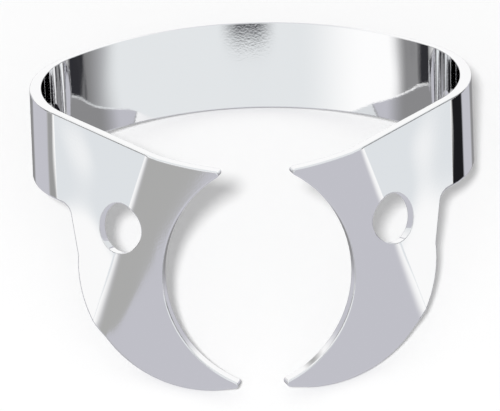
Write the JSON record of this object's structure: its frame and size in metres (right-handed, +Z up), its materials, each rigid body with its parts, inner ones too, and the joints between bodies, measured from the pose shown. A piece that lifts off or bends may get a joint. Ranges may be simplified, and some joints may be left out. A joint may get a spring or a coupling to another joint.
{
  "type": "rubber dam clamp",
  "caption": "Wingless rubber dam clamp bent from spring strip: a wide bow, slanting legs with forceps holes, and flat crescent jaws that grip a tooth.",
  "frame": {"origin": "centre of the bounding box's base, on the surface the clamp lies on", "axes": "+X across the clamp from one jaw to the other, +Y from the jaws back to the crown of the bow, +Z up from the surface"},
  "size_m": [0.0252, 0.024, 0.0109],
  "materials": {
    "steel": "mirror-polished stainless spring steel with faint handling marks"
  },
  "bodies": {
    "root": {"clamp": "steel"}
  },
  "joints": []
}
